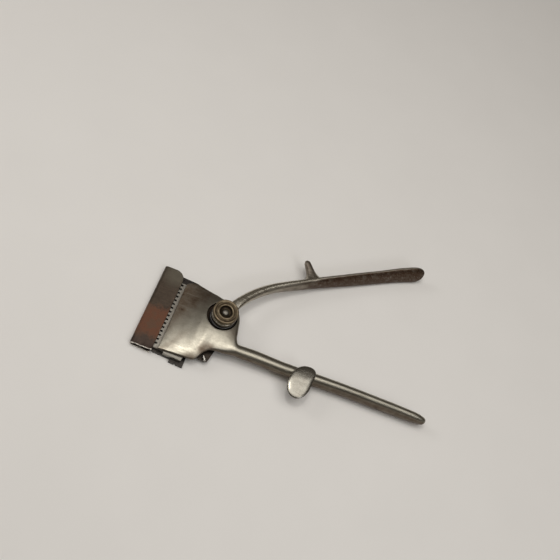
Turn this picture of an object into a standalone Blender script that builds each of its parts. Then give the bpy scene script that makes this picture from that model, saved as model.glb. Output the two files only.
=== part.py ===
"""Hand-squeezed hair clipper with its blade guard on.

The origin is on the comb plate's flat underside, under the middle of the frame's front edge.
+X runs back along the fixed handle, +Y goes to the moving handle's side and +Z is up, away from the comb.
Every size below is in millimetres and becomes metres where a mesh is made.
"""

import math

import bmesh
import bpy
from mathutils import Vector

MM = 0.001
GAP = 0.3  # air left between pieces that touch
SEGMENTS = 40  # steps round a turned piece

# Driving dimensions -------------------------------------------------------------------------
PIVOT_X = 27.3
PIVOT_Y = 10.2

COMB_NEAR = -23.4  # comb plate, its two ends along Y
COMB_FAR = 28.2
COMB_THICK = 2.0
COMB_TIP = -14.8
COMB_ROOT = -2.2
COMB_REAR = 16.0
COMB_TEETH = 27
COMB_RELIEF = 1.0  # how far the teeth are set up from the underside

CUTTER_Z = COMB_THICK + GAP
CUTTER_THICK = 2.3
CUTTER_TOP = CUTTER_Z + CUTTER_THICK
CUTTER_TIP = -13.0
CUTTER_ROOT = -1.6
CUTTER_REAR = 15.3
CUTTER_NEAR = -21.8
CUTTER_FAR = 23.0
CUTTER_TEETH = 17
CUTTER_PITCH = 2.7
CUTTER_MIDDLE = 1.35  # Y of the tooth row's middle, handles open

SQUEEZE_DEG = 20.0
DRIVE_RADIUS = 14.0  # from the pivot to the lever's round tip
DRIVE_X = PIVOT_X - DRIVE_RADIUS * math.cos(math.radians(SQUEEZE_DEG / 2))
DRIVE_Y = PIVOT_Y - DRIVE_RADIUS * math.sin(math.radians(SQUEEZE_DEG / 2))
TIP_RADIUS = 2.1

BRIDGE_Z = 3.0
BRIDGE_THICK = 1.6
LEVER_Z = BRIDGE_Z + BRIDGE_THICK + GAP
LEVER_THICK = 1.7
LEDGE_Z = LEVER_Z + LEVER_THICK + GAP  # underside of the ring that carries the spring
LEDGE_THICK = 1.0

WELL_RADIUS = 9.2
WELL_X = PIVOT_X - 0.5  # the well is cut a little to the front of the pivot and the far side
WELL_Y = PIVOT_Y + 0.6
WELL_HOLE_RADIUS = 6.6
BOSS_RADIUS = 10.7
BOSS_TOP = 9.0
BARREL_RADIUS = 6.1

SPRING_WIRE = 1.5
SPRING_RADIUS = 7.2
SPRING_TURNS = 1.7
SPRING_PITCH = 1.85
SPRING_Z = LEDGE_Z + LEDGE_THICK + GAP + SPRING_WIRE / 2
ARM_DEG = 65.0  # where the moving handle leaves its hub, seen from above

ARM_ROOT_Z = 13.4  # underside of the moving handle where it crosses the frame
FLANGE_TOP = 16.0
NUT_Z = 17.0
NUT_HEIGHT = 3.1
NUT_RADIUS = 7.65
SCREW_RADIUS = 2.4
SCREW_END_RADIUS = 1.9
BUSH_OUTER = 3.6
HUB_BORE = BUSH_OUTER + GAP

STOP_RADIUS = 1.0
STOP_REACH = 9.0  # stop pin's place along the lever and beside it
STOP_BESIDE = 4.0
POSTS = [(20.2, -13.2), (17.9, 20.5)]
COMB_SCREWS = [(21.2, -7.5), (21.2, 1.2)]
STUD = (26.7, -16.2)  # middle of a pin that lies on the bridge
STUD_WAY = (0.58, -0.81, 0.0)
RIVETS = [(DRIVE_X - 3.5, DRIVE_Y - 3.4), (DRIVE_X - 3.5, DRIVE_Y + 3.4)]
REST_RIVET = (83.2, -2.3)
REST_RIVET_RADIUS = 1.1
REST_RIVET_Z = 7.6
REST_X = 84.2
REST_Y = -8.6
REST_Z = 11.8
# Reach of the thumb rest's outline from its middle, every 30 degrees from +X.
REST_REACH = [6.4, 7.5, 11.8, 11.1, 9.4, 8.0, 7.8, 8.8, 10.1, 10.0, 8.3, 6.7]
REST_TILT = 0.12
REST_FLAT_Y = -6.0
POST_SCREW = 1.2
POST_CLEAR = 0.5
SCREW_BITE = 0.7
COMB_SCREW = 1.2
STUD_RADIUS = 0.8
STUD_LENGTH = 3.6
RIVET_RADIUS = 0.7
LEVER_RIVET_REACH = 5.0
LEVER_RIVET_TOP = 9.0
YOKE_HEIGHT = 1.5
BRIDGE_FRONT = 15.7
TONGUE_REAR = 25.5
TONGUE_NEAR = -10.6
TONGUE_FAR = 4.4
TAB_NEAR = -25.3
TAB_REAR = 17.2
SPRING_TAIL_Z = 14.8

GUARD_SHEET = 0.6
GUARD_NEAR = -24.4
GUARD_FAR = 29.7
GUARD_FRONT = -16.0
GUARD_REAR = -2.9
GUARD_CORNER = 6.0

PARTS_NAME = "hair_clipper"
CUTTERS_NAME = "cutters"


# Scene and material helpers -------------------------------------------------------------------
def clear_scene():
    """Take every object and spare collection out of the file."""
    for item in list(bpy.data.objects):
        bpy.data.objects.remove(item, do_unlink=True)
    for group in list(bpy.data.collections):
        bpy.data.collections.remove(group)


def collection(name):
    """Return the collection of that name, linked to the scene."""
    found = bpy.data.collections.get(name)
    if found is None:
        found = bpy.data.collections.new(name)
        bpy.context.scene.collection.children.link(found)
    return found


def material(name, colour, roughness, metallic=1.0):
    """Return a Principled material, made once for each name."""
    found = bpy.data.materials.get(name)
    if found is not None:
        return found
    found = bpy.data.materials.new(name)
    found.use_nodes = True
    shader = found.node_tree.nodes["Principled BSDF"]
    shader.inputs["Base Color"].default_value = (*colour, 1.0)
    shader.inputs["Roughness"].default_value = roughness
    shader.inputs["Metallic"].default_value = metallic
    return found


def satin_nickel():
    return material("satin_nickel", (0.50, 0.47, 0.40), 0.34)


def dark_nickel():
    return material("dark_nickel", (0.30, 0.28, 0.24), 0.38)


def bright_steel():
    return material("bright_steel", (0.62, 0.61, 0.58), 0.26)


def blade_steel():
    return material("blade_steel", (0.42, 0.41, 0.38), 0.42)


def tarnished_bronze():
    return material("tarnished_bronze", (0.33, 0.25, 0.16), 0.38)


def spring_steel():
    return material("spring_steel", (0.09, 0.085, 0.08), 0.42)


def rusty_sheet():
    return material("rusty_sheet", (0.17, 0.11, 0.08), 0.62, 0.6)


def add_object(name, mesh, surface, group=PARTS_NAME):
    """Link a mesh as a named object with its own material."""
    item = bpy.data.objects.new(name, mesh)
    collection(group).objects.link(item)
    if surface is not None:
        mesh.materials.append(surface)
    mesh.shade_smooth()
    mesh.set_sharp_from_angle(angle=math.radians(32))
    return item


def as_tool(item):
    """Mark an object as a cutter or a guide that isn't part of the model."""
    item.hide_render = True
    item.display_type = "WIRE"
    return item


def mesh_from_bmesh(name, work):
    """Turn a bmesh into a mesh with its faces pointing out."""
    bmesh.ops.recalc_face_normals(work, faces=work.faces[:])
    mesh = bpy.data.meshes.new(name)
    work.to_mesh(mesh)
    work.free()
    return mesh


def boolean(target, tool, operation, solver):
    """Add a Boolean that cuts or joins the tool."""
    step = target.modifiers.new(f"{operation.lower()}_{tool.name}", "BOOLEAN")
    step.operation = operation
    step.solver = solver
    step.object = tool


def cut(target, tool, solver="EXACT"):
    boolean(target, as_tool(tool), "DIFFERENCE", solver)


def join(target, tool, solver="EXACT"):
    boolean(target, as_tool(tool), "UNION", solver)


# Shape helpers ----------------------------------------------------------------------------------
def ease(table, x):
    """Read a smooth curve through (x, value) rows, without overshoot between them."""
    xs = [row[0] for row in table]
    values = [row[1] for row in table]
    if x <= xs[0]:
        return values[0]
    if x >= xs[-1]:
        return values[-1]
    slopes = [(values[i + 1] - values[i]) / (xs[i + 1] - xs[i]) for i in range(len(xs) - 1)]
    tangents = [slopes[0]]
    for before, after in zip(slopes, slopes[1:]):
        tangents.append(0.0 if before * after <= 0 else 2 * before * after / (before + after))
    tangents.append(slopes[-1])
    i = max(k for k in range(len(xs) - 1) if xs[k] <= x)
    span = xs[i + 1] - xs[i]
    t = (x - xs[i]) / span
    return (
        values[i] * (1 + 2 * t) * (1 - t) ** 2
        + tangents[i] * span * t * (1 - t) ** 2
        + values[i + 1] * t * t * (3 - 2 * t)
        + tangents[i + 1] * span * t * t * (t - 1)
    )


def through(rows, at):
    """Read every column of a table of rows at the row position given, which may be a fraction."""
    return [ease([(i, row[k]) for i, row in enumerate(rows)], at) for k in range(len(rows[0]))]


def loft(name, rings, surface, group=PARTS_NAME):
    """Skin closed rings of equal length and close both ends."""
    work = bmesh.new()
    loops = [[work.verts.new(Vector(point) * MM) for point in ring] for ring in rings]
    count = len(rings[0])
    for first, second in zip(loops, loops[1:]):
        for i in range(count):
            j = (i + 1) % count
            work.faces.new((first[i], first[j], second[j], second[i]))
    work.faces.new(loops[0][::-1])
    work.faces.new(loops[-1])
    return add_object(name, mesh_from_bmesh(name, work), surface, group)


def oval_ring(centre, across, wide, tall, power, lean=0.0, count=18):
    """A superellipse standing across a path: wide along the plan direction given, tall along Z."""
    ring = []
    for i in range(count):
        angle = 2 * math.pi * i / count
        c = math.cos(angle)
        s = math.sin(angle)
        side = math.copysign(abs(c) ** (2 / power), c) * wide / 2
        up = math.copysign(abs(s) ** (2 / power), s) * tall / 2
        side += lean * up
        ring.append((centre[0] + across[0] * side, centre[1] + across[1] * side, centre[2] + up))
    return ring


def turned(name, profile, surface, at=(0.0, 0.0, 0.0), group=PARTS_NAME, steps=SEGMENTS, closed=False):
    """Revolve a profile of (radius, z) points, read down the outer side, about a vertical axis."""
    work = bmesh.new()
    verts = [work.verts.new((radius * MM, 0.0, z * MM)) for radius, z in profile]
    for first, second in zip(verts, verts[1:]):
        work.edges.new((first, second))
    if closed:
        work.edges.new((verts[-1], verts[0]))
    mesh = bpy.data.meshes.new(name)
    work.to_mesh(mesh)
    work.free()
    item = add_object(name, mesh, surface, group)
    item.location = Vector(at) * MM
    screw = item.modifiers.new("turn", "SCREW")
    screw.axis = "Z"
    screw.steps = steps
    screw.render_steps = steps
    screw.use_merge_vertices = True
    screw.merge_threshold = 0.00001
    screw.use_smooth_shade = True
    return item


def rod(name, radius, z0, z1, surface, at=(0.0, 0.0), group=PARTS_NAME, steps=24):
    """A plain vertical cylinder."""
    profile = [(0.0, z1), (radius, z1), (radius, z0), (0.0, z0)]
    return turned(name, profile, surface, (at[0], at[1], 0.0), group, steps)


def tube(name, inner, outer, z0, z1, surface, at=(0.0, 0.0), group=PARTS_NAME, steps=SEGMENTS):
    """A plain vertical sleeve."""
    profile = [(inner, z1), (outer, z1), (outer, z0), (inner, z0)]
    return turned(name, profile, surface, (at[0], at[1], 0.0), group, steps, closed=True)


def round_corners(points, radii, steps=4):
    """Replace each corner of a plan outline by an arc of its radius."""
    result = []
    count = len(points)
    for i, (x, y) in enumerate(points):
        here = Vector((x, y))
        radius = radii[i] if isinstance(radii, (list, tuple)) else radii
        before = (Vector(points[i - 1]) - here).normalized()
        after = (Vector(points[(i + 1) % count]) - here).normalized()
        if radius <= 0:
            result.append((x, y))
            continue
        half = before.angle(after) / 2
        reach = radius / math.tan(half)
        start = here + before * reach
        end = here + after * reach
        centre = here + (before + after).normalized() * (radius / math.sin(half))
        first = start - centre
        last = end - centre
        for k in range(steps + 1):
            spoke = first.lerp(last, k / steps).normalized() * radius
            result.append(tuple(centre + spoke))
    return result


def plate(name, outline, z0, z1, surface, group=PARTS_NAME):
    """A flat outline with a thickness, as a filled 2D curve turned into a mesh."""
    curve = bpy.data.curves.new(name, "CURVE")
    curve.dimensions = "2D"
    curve.fill_mode = "BOTH"
    curve.extrude = (z1 - z0) / 2 * MM
    line = curve.splines.new("POLY")
    line.points.add(len(outline) - 1)
    for point, (x, y) in zip(line.points, outline):
        point.co = (x * MM, y * MM, 0.0, 1.0)
    line.use_cyclic_u = True
    shape = bpy.data.objects.new(name, curve)
    shape.location = (0.0, 0.0, (z0 + z1) / 2 * MM)
    collection(group).objects.link(shape)
    bpy.context.view_layer.update()
    graph = bpy.context.evaluated_depsgraph_get()
    mesh = bpy.data.meshes.new_from_object(shape.evaluated_get(graph))
    place = shape.matrix_world.copy()
    bpy.data.objects.remove(shape, do_unlink=True)
    bpy.data.curves.remove(curve)
    work = bmesh.new()
    work.from_mesh(mesh)
    bmesh.ops.remove_doubles(work, verts=work.verts[:], dist=0.000005)
    bmesh.ops.recalc_face_normals(work, faces=work.faces[:])
    work.to_mesh(mesh)
    work.free()
    item = add_object(name, mesh, surface, group)
    item.matrix_world = place
    return item


def box(name, low, high, surface, group=PARTS_NAME):
    """An axis-aligned block between two corners."""
    work = bmesh.new()
    bmesh.ops.create_cube(work, size=1.0)
    size = Vector(high) - Vector(low)
    middle = (Vector(high) + Vector(low)) / 2
    for vert in work.verts:
        vert.co = Vector((vert.co.x * size.x, vert.co.y * size.y, vert.co.z * size.z)) * MM
    item = add_object(name, mesh_from_bmesh(name, work), surface, group)
    item.location = middle * MM
    return item


def comb_outline(tip, root, rear, near, far, gaps, gap_wide):
    """A plate outline whose front is slit by gaps at the Y places given, near end first."""
    outline = [(rear, far), (rear, near), (tip + 0.8, near), (tip, near + 0.2)]
    edge = near
    for middle in gaps:
        low = middle - gap_wide / 2
        high = middle + gap_wide / 2
        tooth = (edge + low) / 2
        outline.append((tip, max(low - 0.35, tooth + 0.1)))
        outline.append((tip + 0.8, low))
        outline.append((root, low))
        outline.append((root + gap_wide * 0.35, middle))
        outline.append((root, high))
        outline.append((tip + 0.8, high))
        outline.append((tip, high + 0.35))
        edge = high
    outline += [(tip, far - 0.2), (tip + 0.8, far)]
    return outline


# Frame, forged in one piece with the fixed handle ------------------------------------------------
# Each row is one station: near edge X Y, far edge X Y, mid-surface height at the near and far edges,
# crown between them, thickness and how square the section is.
FRAME_ROWS = [
    (0.0, -22.2, 0.0, 22.8, 5.9, 5.9, 0.15, 1.3, 14.0),
    (2.0, -22.0, 2.2, 24.6, 6.0, 5.9, 0.5, 1.4, 14.0),
    (5.5, -21.7, 5.5, 25.8, 6.1, 6.0, 1.1, 1.5, 14.0),
    (12.0, -21.2, 11.5, 24.8, 6.4, 6.6, 2.2, 1.6, 12.0),
    (17.5, -20.8, 17.0, 23.6, 6.7, 7.6, 2.9, 1.8, 12.0),
    (20.6, -20.5, 20.5, 22.9, 7.0, 8.3, 3.0, 1.9, 12.0),
    (22.8, -17.9, 24.0, 22.0, 7.6, 8.9, 2.7, 2.0, 12.0),
    (24.9, -14.1, 28.0, 21.6, 8.3, 9.0, 2.3, 2.2, 10.0),
    (27.6, -11.4, 32.0, 20.4, 8.8, 8.9, 2.0, 2.6, 8.0),
    (31.5, -10.2, 35.6, 17.2, 8.9, 8.8, 1.6, 3.4, 6.0),
    (35.0, -9.8, 37.8, 12.4, 8.8, 8.6, 1.2, 4.4, 4.5),
    (37.8, -9.3, 38.8, 7.2, 8.7, 8.5, 0.9, 5.4, 3.4),
    (40.2, -8.7, 40.0, 1.6, 8.7, 8.5, 0.5, 6.2, 2.7),
    (42.6, -8.3, 42.2, -1.2, 8.7, 8.5, 0.2, 6.8, 2.3),
    (47.0, -8.1, 47.0, -0.7, 8.6, 8.6, 0.0, 7.0, 2.1),
]
FRAME_STEPS = 2  # rings between two stations
# Each row is one handle station: X, Y, width, height, mid height and how square the section is.
FIXED_HANDLE_ROWS = [
    (47.0, -4.4, 7.4, 7.0, 8.6, 2.1),
    (54.0, -3.7, 7.5, 7.3, 8.3, 2.1),
    (62.0, -3.3, 7.5, 7.9, 7.8, 2.1),
    (70.0, -2.9, 7.5, 8.6, 7.25, 2.1),
    (78.0, -2.2, 7.5, 9.2, 6.9, 2.1),
    (92.0, -0.9, 7.3, 9.9, 6.6, 2.1),
    (111.0, 0.8, 6.9, 10.3, 6.3, 2.1),
    (132.0, 2.0, 6.7, 10.4, 6.2, 2.1),
    (146.0, 2.8, 6.5, 10.4, 6.2, 2.1),
    (157.0, 3.3, 6.0, 9.6, 6.3, 2.1),
    (162.4, 3.4, 4.9, 7.6, 6.4, 2.0),
    (164.8, 3.4, 3.2, 4.8, 6.4, 2.0),
    (165.4, 3.3, 1.4, 2.2, 6.4, 2.0),
]
HANDLE_STEPS = 1
RING_HALF = 11  # points along the top of a frame section, and the same along its underside


def frame_ring(row):
    """One closed section of the frame, along its top from the near edge and back below."""
    near_x, near_y, far_x, far_y, near_z, far_z, crown, thick, power = row
    top = []
    bottom = []
    for i in range(RING_HALF + 1):
        side = -math.cos(math.pi * i / RING_HALF)
        part = (side + 1) / 2
        x = near_x + (far_x - near_x) * part
        y = near_y + (far_y - near_y) * part
        middle = near_z + (far_z - near_z) * part + crown * (1 - side * side)
        half = thick / 2 * max(0.0, 1 - abs(side) ** power) ** (1 / power)
        top.append((x, y, middle + half))
        bottom.append((x, y, middle - half))
    return top + bottom[-2:0:-1]


def fixed_handle_row(row):
    """A handle station written as a frame station."""
    x, y, wide, tall, height, power = row
    return (x, y - wide / 2, x, y + wide / 2, height, height, 0.0, tall, power)


def on_pivot(radius, degrees):
    """Plan point at a radius and an angle about the pivot."""
    angle = math.radians(degrees)
    return (PIVOT_X + radius * math.cos(angle), PIVOT_Y + radius * math.sin(angle))


def frame_under(x, y):
    """Height of the frame's underside over a point of the plan, from the nearest section."""
    nearest = None
    for i in range(len(FRAME_ROWS) - 1):
        for k in range(8):
            row = through(FRAME_ROWS, i + k / 8)
            part = (y - row[1]) / (row[3] - row[1])
            away = abs(row[0] + (row[2] - row[0]) * part - x)
            side = 2 * part - 1
            height = row[4] + (row[5] - row[4]) * part + row[6] * (1 - side * side) - row[7] / 2
            if nearest is None or away < nearest[0]:
                nearest = (away, height)
    return nearest[1]


def frame():
    """Shield, boss and fixed handle in one forging, with the spring's well cut through it."""
    handle = [fixed_handle_row(row) for row in FIXED_HANDLE_ROWS]
    rings = []
    for i in range(len(FRAME_ROWS) - 1):
        for k in range(FRAME_STEPS):
            rings.append(frame_ring(through(FRAME_ROWS, i + k / FRAME_STEPS)))
    for i in range(len(handle) - 1):
        for k in range(HANDLE_STEPS):
            rings.append(frame_ring(through(handle, i + k / HANDLE_STEPS)))
    rings.append(frame_ring(handle[-1]))
    item = loft("frame", rings, satin_nickel())
    pivot = (PIVOT_X, PIVOT_Y)
    well = (WELL_X, WELL_Y)
    boss = rod("frame_boss", BOSS_RADIUS, LEDGE_Z, BOSS_TOP, None, well, CUTTERS_NAME, SEGMENTS)
    join(item, boss, "MANIFOLD")
    holes = [
        ("well", WELL_RADIUS, LEDGE_Z + LEDGE_THICK, well),
        ("well_hole", WELL_HOLE_RADIUS, 0.0, pivot),
        ("rest_hole", REST_RIVET_RADIUS + GAP, REST_RIVET_Z - GAP, REST_RIVET),
    ]
    for name, radius, low, at in holes:
        cut(item, rod(name, radius, low, 20.0, None, at, CUTTERS_NAME, SEGMENTS), "MANIFOLD")
    blind = [(POST_SCREW + GAP, frame_under(*at) + SCREW_BITE + GAP, at) for at in POSTS]
    anchor = on_pivot(SPRING_RADIUS, ARM_DEG - 360 * SPRING_TURNS)
    blind.append((SPRING_WIRE / 2 + GAP, BOSS_TOP + 0.6, anchor))
    for i, (radius, top, at) in enumerate(blind):
        cut(item, rod(f"frame_hole_{i}", radius, 3.0, top, None, at, CUTTERS_NAME), "MANIFOLD")
    return item


def rest_reach(degrees):
    """Read the thumb rest's outline as a smooth closed curve."""
    at = degrees / 30.0
    i = int(at)
    t = at - i
    a, b, c, d = (REST_REACH[(i + k) % 12] for k in (-1, 0, 1, 2))
    return b + 0.5 * t * (c - a + t * (2 * a - 5 * b + 4 * c - d + t * (3 * (b - c) + d - a)))


def thumb_rest():
    """Polished pad on top of the fixed handle: a broad lobe across it and an oval one out past its side."""
    levels = [
        (0.0, 0.80), (0.35, 0.92), (0.9, 0.985), (1.3, 1.0), (1.7, 0.97),
        (1.95, 0.89), (2.2, 0.72), (2.4, 0.45), (2.5, 0.18),
    ]
    rings = []
    for rise, scale in levels:
        ring = []
        for i in range(30):
            degrees = 360 * i / 30
            reach = rest_reach(degrees) * scale
            x = REST_X + reach * math.cos(math.radians(degrees))
            y = REST_Y + reach * math.sin(math.radians(degrees))
            tip = REST_TILT * min(0.0, y - REST_FLAT_Y)
            ring.append((x, y, REST_Z + rise + tip))
        rings.append(ring)
    item = loft("thumb_rest", rings, bright_steel())
    hole = REST_RIVET_RADIUS + GAP
    cut(item, rod("rest_rivet_hole", hole, 5.0, REST_Z + 1.5, None, REST_RIVET, CUTTERS_NAME))
    return item


def thumb_rest_rivet():
    """Pin that holds the thumb rest down to the handle."""
    return rod("thumb_rest_rivet", REST_RIVET_RADIUS, REST_RIVET_Z, REST_Z + 1.2, blade_steel(), REST_RIVET)


# Lower blade, bridge and the pieces that hang them under the frame --------------------------------
def prism_along_y(name, outline, y0, y1, surface=None, group=CUTTERS_NAME):
    """Stretch an outline of (x, z) points along Y."""
    return loft(name, [[(x, y, z) for x, z in outline] for y in (y0, y1)], surface, group)


def comb_plate():
    """Lower blade: fine teeth set up from the underside, and a tongue that reaches under the bridge."""
    pitch = (COMB_FAR - COMB_NEAR) / COMB_TEETH
    gaps = [COMB_NEAR + pitch * (i + 1) for i in range(COMB_TEETH - 1)]
    outline = comb_outline(COMB_TIP, COMB_ROOT, COMB_REAR, COMB_NEAR, COMB_FAR, gaps, pitch * 0.42)
    tongue = [(COMB_REAR, TONGUE_FAR), (TONGUE_REAR, TONGUE_FAR)]
    tongue += [(TONGUE_REAR, TONGUE_NEAR), (TAB_REAR, TONGUE_NEAR)]
    tab = [(TAB_REAR, TAB_NEAR), (12.9, TAB_NEAR), (12.7, TAB_NEAR + 1.0)]
    tab += [(12.3, TAB_NEAR + 1.1), (12.1, TAB_NEAR), (8.6, TAB_NEAR), (8.6, COMB_NEAR)]
    outline = [(COMB_REAR, COMB_FAR - 4.6)] + tongue + tab + outline[2:] + [(COMB_REAR - 9.6, COMB_FAR)]
    item = plate("comb_plate", outline, 0.0, COMB_THICK, blade_steel())
    rear = COMB_ROOT + 0.4
    front = COMB_TIP - 1
    relief = [(rear, -1.0), (rear, COMB_RELIEF), (front, COMB_RELIEF + 0.35), (front, -1.0)]
    cut(item, prism_along_y("comb_relief", relief, COMB_NEAR - 3, COMB_FAR + 3))
    for i, at in enumerate(COMB_SCREWS):
        shank = COMB_SCREW + GAP
        profile = [(0.0, 5.0), (shank, 5.0), (shank, 1.5), (shank + 1.2, 0.3), (shank + 1.2, -1.0), (0.0, -1.0)]
        cut(item, turned(f"comb_hole_{i}", profile, None, (*at, 0.0), CUTTERS_NAME, 24))
    return item


def bridge():
    """Cranked plate under the frame: it carries the pivot screw and guides the cutter's rear edge."""
    corners = [
        (BRIDGE_FRONT, -16.2), (24.4, -17.4), (29.2, -17.4), (30.0, -12.6), (32.4, -3.0),
        (37.0, 5.0), (37.4, 13.6), (32.0, 19.2), (25.0, 21.4), (BRIDGE_FRONT, 22.4),
    ]
    radii = [0.6, 1.2, 1.8, 3.0, 5.0, 4.0, 5.0, 4.0, 4.0, 0.8]
    top = BRIDGE_Z + BRIDGE_THICK
    item = plate("bridge", round_corners(corners, radii), BRIDGE_Z, top, blade_steel())
    holes = [(PIVOT_X, PIVOT_Y, SCREW_RADIUS), (*stop_place(), STOP_RADIUS)]
    holes += [(*at, POST_SCREW) for at in POSTS]
    holes += [(*at, COMB_SCREW) for at in COMB_SCREWS]
    for i, (x, y, radius) in enumerate(holes):
        cut(item, rod(f"bridge_hole_{i}", radius + GAP, 0.0, 8.0, None, (x, y), CUTTERS_NAME))
    return item


def stop_place():
    """Plan point of the stop pin, beside the lever with the handles open."""
    angle = math.radians(180 + SQUEEZE_DEG / 2)
    along = Vector((math.cos(angle), math.sin(angle)))
    beside = Vector((-along.y, along.x))
    return tuple(Vector((PIVOT_X, PIVOT_Y)) + along * STOP_REACH + beside * STOP_BESIDE)


def stop_pin():
    """Pin in the bridge that the lever rests on with the handles open."""
    return rod("stop_pin", STOP_RADIUS, BRIDGE_Z, LEVER_Z + LEVER_THICK, bright_steel(), stop_place())


def stud():
    """Bright pin lying on the bridge's near end and pointing out past it."""
    half = STUD_LENGTH / 2
    small = STUD_RADIUS * 0.7
    profile = [(0.0, half), (small, half - 0.1), (STUD_RADIUS, half - 0.4)]
    profile += [(STUD_RADIUS, 0.4 - half), (small, 0.1 - half), (0.0, -half)]
    height = BRIDGE_Z + BRIDGE_THICK + GAP + STUD_RADIUS
    item = turned("bridge_stud", profile, bright_steel(), (*STUD, height), steps=24)
    item.rotation_euler = Vector(STUD_WAY).to_track_quat("Z", "Y").to_euler()
    return item


def evaluated_mesh(item):
    """The mesh an object's modifiers give."""
    bpy.context.view_layer.update()
    graph = bpy.context.evaluated_depsgraph_get()
    return bpy.data.meshes.new_from_object(item.evaluated_get(graph))


def comb_shims():
    """Washers between the comb plate's tongue and the bridge."""
    for i, at in enumerate(COMB_SCREWS):
        low = COMB_THICK + GAP
        tube(f"comb_shim_{i + 1}", COMB_SCREW + GAP, 3.0, low, BRIDGE_Z - GAP, bright_steel(), at, steps=24)


def comb_screws():
    """Countersunk screws that hold the comb plate to the bridge."""
    wide = COMB_SCREW + 1.2
    profile = [(0.0, 4.4), (COMB_SCREW, 4.4), (COMB_SCREW, 1.5), (wide, 0.45), (wide, 0.2), (0.0, 0.2)]
    for i, at in enumerate(COMB_SCREWS):
        turned(f"comb_screw_{i + 1}", profile, bright_steel(), (*at, 0.0), steps=24)


def bridge_posts():
    """Sleeves that set the bridge down from the frame."""
    for i, (x, y) in enumerate(POSTS):
        low = BRIDGE_Z + BRIDGE_THICK + GAP
        top = frame_under(x, y) - POST_CLEAR
        tube(f"bridge_post_{i + 1}", POST_SCREW + GAP, 2.1, low, top, blade_steel(), (x, y), steps=24)


def bridge_screws():
    """Cheese-head screws from below, through the bridge and its posts, into the frame."""
    head_top = BRIDGE_Z - GAP
    for i, (x, y) in enumerate(POSTS):
        top = frame_under(x, y) + SCREW_BITE
        profile = [(0.0, top), (POST_SCREW, top), (POST_SCREW, head_top), (1.8, head_top)]
        profile += [(1.8, head_top - 1.1), (0.0, head_top - 1.1)]
        turned(f"bridge_screw_{i + 1}", profile, bright_steel(), (x, y, 0.0), steps=24)


# Cutter -------------------------------------------------------------------------------------------
def cutter_plate():
    """Upper blade: wide teeth tapering down to their tips, and a raised block at each end."""
    gaps = [CUTTER_MIDDLE + CUTTER_PITCH * (i - CUTTER_TEETH / 2 + 1) for i in range(CUTTER_TEETH - 1)]
    outline = comb_outline(CUTTER_TIP, CUTTER_ROOT, CUTTER_REAR, CUTTER_NEAR, CUTTER_FAR, gaps, 1.15)
    item = plate("cutter_plate", outline, CUTTER_Z, CUTTER_TOP, blade_steel())
    front = CUTTER_TIP - 1
    rear = CUTTER_ROOT + 0.6
    taper = [(rear, CUTTER_TOP), (rear, 8.0), (front, 8.0), (front, CUTTER_Z + 0.9)]
    cut(item, prism_along_y("cutter_taper", taper, CUTTER_NEAR - 3, CUTTER_FAR + 3))
    blocks = [(CUTTER_NEAR - 1.4, CUTTER_NEAR + 2.0), (CUTTER_FAR - 2.0, CUTTER_FAR + 0.4)]
    for i, (near, far) in enumerate(blocks):
        low = (3.8, near, CUTTER_Z)
        high = (CUTTER_REAR - 0.4, far, CUTTER_TOP + 0.4)
        join(item, box(f"cutter_end_{i}", low, high, None, CUTTERS_NAME))
    for i, at in enumerate(RIVETS):
        cut(item, rod(f"cutter_hole_{i}", RIVET_RADIUS + GAP, 0.0, 8.0, None, at, CUTTERS_NAME))
    return item


def cutter_yoke():
    """U-shaped block on the cutter that the lever's round tip works in."""
    slot = TIP_RADIUS + GAP
    half = slot + 2.4
    front = DRIVE_X - TIP_RADIUS - 3.0
    inner = DRIVE_X - TIP_RADIUS - 0.55
    rear = DRIVE_X + 2.2
    outline = [
        (front, DRIVE_Y - half), (rear, DRIVE_Y - half), (rear, DRIVE_Y - slot), (inner, DRIVE_Y - slot),
        (inner, DRIVE_Y + slot), (rear, DRIVE_Y + slot), (rear, DRIVE_Y + half), (front, DRIVE_Y + half),
    ]
    low = CUTTER_TOP + GAP
    item = plate("cutter_yoke", outline, low, low + YOKE_HEIGHT, bright_steel())
    for i, at in enumerate(RIVETS):
        cut(item, rod(f"yoke_hole_{i}", RIVET_RADIUS + GAP, 0.0, 8.0, None, at, CUTTERS_NAME))
    return item


def yoke_rivets():
    """Rivets that hold the yoke on the cutter."""
    top = CUTTER_TOP + GAP + YOKE_HEIGHT
    for i, at in enumerate(RIVETS):
        rod(f"yoke_rivet_{i + 1}", RIVET_RADIUS, CUTTER_Z + 0.2, top, blade_steel(), at, steps=20)


# Moving handle -------------------------------------------------------------------------------------
# Each row is one station: X, Y, width, height, mid height and how square the section is.
MOVING_HANDLE_ROWS = [
    (28.8, 13.4, 6.6, 2.4, 14.7, 3.0),
    (30.6, 17.3, 6.5, 2.4, 14.7, 2.8),
    (32.7, 21.7, 6.1, 3.5, 14.2, 2.3),
    (36.2, 27.8, 5.9, 5.2, 12.9, 2.1),
    (41.5, 34.7, 5.8, 6.4, 11.7, 2.1),
    (48.3, 41.6, 5.5, 7.3, 10.6, 2.1),
    (55.6, 47.4, 5.2, 8.2, 9.6, 2.2),
    (63.0, 52.8, 4.8, 9.2, 8.5, 2.3),
    (74.4, 60.9, 4.2, 10.2, 7.4, 2.6),
    (92.6, 72.7, 3.7, 11.2, 6.6, 2.9),
    (109.9, 83.8, 3.7, 12.0, 6.4, 3.0),
    (124.0, 92.7, 4.1, 13.0, 6.8, 3.0),
    (132.4, 97.3, 4.3, 13.4, 7.0, 2.8),
    (136.6, 99.2, 3.9, 11.4, 7.0, 2.5),
    (138.9, 100.1, 2.9, 7.6, 7.0, 2.2),
    (139.8, 100.4, 1.3, 3.4, 7.0, 2.0),
]
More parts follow.
